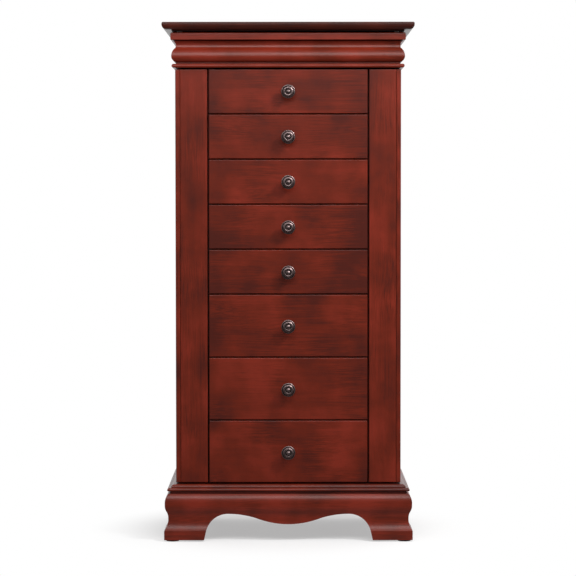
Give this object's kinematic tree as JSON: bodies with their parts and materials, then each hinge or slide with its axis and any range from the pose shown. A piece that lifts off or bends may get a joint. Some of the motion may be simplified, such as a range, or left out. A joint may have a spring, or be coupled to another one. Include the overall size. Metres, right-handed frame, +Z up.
{
  "type": "jewelry cabinet",
  "caption": "Tall free-standing jewelry cabinet with a bank of drawers between two side doors for necklaces, a lift-up lid with a mirror, and a scalloped bracket base.",
  "frame": {"origin": "middle of the footprint on the floor, from the lid's front edge to the hinge barrels at the back", "axes": "+Z up, -Y out of the drawer fronts towards the user, +X to the right of a person who faces the drawers"},
  "size_m": [0.492, 0.338, 1.016],
  "materials": {
    "cherry_stained_wood": "dark cherry stain under semi-gloss lacquer",
    "drawer_wood": "satin stain",
    "hardboard": "matte",
    "antique_bronze": "antiqued, burnished on the high spots",
    "antiqued_brass": "satin, antiqued",
    "zinc_plated_steel": "plated",
    "felt": "soft flocked felt",
    "mirror_glass": "silvered",
    "glide_plastic": "dark, moulded",
    "brown_plastic": "moulded",
    "bumper_rubber": "translucent, soft"
  },
  "bodies": {
    "case": {"back_panel": "hardboard", "back_posts": "cherry_stained_wood", "back_rails": "cherry_stained_wood", "base_front": "cherry_stained_wood", "base_moulding": "cherry_stained_wood", "base_sides": "cherry_stained_wood", "bottom_board": "cherry_stained_wood", "case_hinge_leaves": "antiqued_brass", "corner_blocks": "drawer_wood", "crown_moulding": "cherry_stained_wood", "deck_board": "drawer_wood", "door_catches": "brown_plastic", "drawer_runners": "drawer_wood", "foot_glides": "glide_plastic", "lid_bumpers": "bumper_rubber", "partitions": "cherry_stained_wood", "ring_cushion": "felt", "tray_dividers": "felt"},
    "lid": {"lid_board": "cherry_stained_wood", "lid_hinge_leaves": "antiqued_brass", "lid_mirror": "mirror_glass", "lid_mirror_frame": "cherry_stained_wood"},
    "right_door": {"right_door_panel": "cherry_stained_wood", "right_door_stile": "cherry_stained_wood", "right_door_hook_rail": "cherry_stained_wood", "right_door_necklace_hooks": "antiqued_brass", "right_door_necklace_pocket": "felt", "right_door_strike_plate": "zinc_plated_steel", "right_door_hinge_leaves": "antiqued_brass"},
    "left_door": {"left_door_panel": "cherry_stained_wood", "left_door_stile": "cherry_stained_wood", "left_door_hook_rail": "cherry_stained_wood", "left_door_necklace_hooks": "antiqued_brass", "left_door_necklace_pocket": "felt", "left_door_strike_plate": "zinc_plated_steel", "left_door_hinge_leaves": "antiqued_brass"},
    "drawer_1": {"drawer_1_front": "cherry_stained_wood", "drawer_1_box": "drawer_wood", "drawer_1_knob": "antique_bronze"},
    "drawer_2": {"drawer_2_front": "cherry_stained_wood", "drawer_2_box": "drawer_wood", "drawer_2_knob": "antique_bronze"},
    "drawer_3": {"drawer_3_front": "cherry_stained_wood", "drawer_3_box": "drawer_wood", "drawer_3_knob": "antique_bronze"},
    "drawer_4": {"drawer_4_front": "cherry_stained_wood", "drawer_4_box": "drawer_wood", "drawer_4_knob": "antique_bronze"},
    "drawer_5": {"drawer_5_front": "cherry_stained_wood", "drawer_5_box": "drawer_wood", "drawer_5_knob": "antique_bronze"},
    "drawer_6": {"drawer_6_front": "cherry_stained_wood", "drawer_6_box": "drawer_wood", "drawer_6_knob": "antique_bronze"},
    "drawer_7": {"drawer_7_front": "cherry_stained_wood", "drawer_7_box": "drawer_wood", "drawer_7_knob": "antique_bronze"},
    "drawer_8": {"drawer_8_front": "cherry_stained_wood", "drawer_8_box": "drawer_wood", "drawer_8_knob": "antique_bronze"}
  },
  "joints": [
    {"name": "lid_hinge", "type": "hinge", "parent": "case", "child": "lid", "pos_m": [0, 0.1666, 0.99795], "axis": [-1, 0, 0], "range_deg": [0, 95]},
    {"name": "right_door_hinge", "type": "hinge", "parent": "case", "child": "right_door", "pos_m": [0.2236, 0.14475, 0.5196], "axis": [0, 0, 1], "range_deg": [0, 120]},
    {"name": "left_door_hinge", "type": "hinge", "parent": "case", "child": "left_door", "pos_m": [-0.2236, 0.14475, 0.5196], "axis": [0, 0, -1], "range_deg": [0, 120]},
    {"name": "drawer_1_slide", "type": "slide", "parent": "case", "child": "drawer_1", "axis": [0, -1, 0], "range_m": [0, 0.2]},
    {"name": "drawer_2_slide", "type": "slide", "parent": "case", "child": "drawer_2", "axis": [0, -1, 0], "range_m": [0, 0.2]},
    {"name": "drawer_3_slide", "type": "slide", "parent": "case", "child": "drawer_3", "axis": [0, -1, 0], "range_m": [0, 0.2]},
    {"name": "drawer_4_slide", "type": "slide", "parent": "case", "child": "drawer_4", "axis": [0, -1, 0], "range_m": [0, 0.2]},
    {"name": "drawer_5_slide", "type": "slide", "parent": "case", "child": "drawer_5", "axis": [0, -1, 0], "range_m": [0, 0.2]},
    {"name": "drawer_6_slide", "type": "slide", "parent": "case", "child": "drawer_6", "axis": [0, -1, 0], "range_m": [0, 0.2]},
    {"name": "drawer_7_slide", "type": "slide", "parent": "case", "child": "drawer_7", "axis": [0, -1, 0], "range_m": [0, 0.2]},
    {"name": "drawer_8_slide", "type": "slide", "parent": "case", "child": "drawer_8", "axis": [0, -1, 0], "range_m": [0, 0.2]}
  ]
}
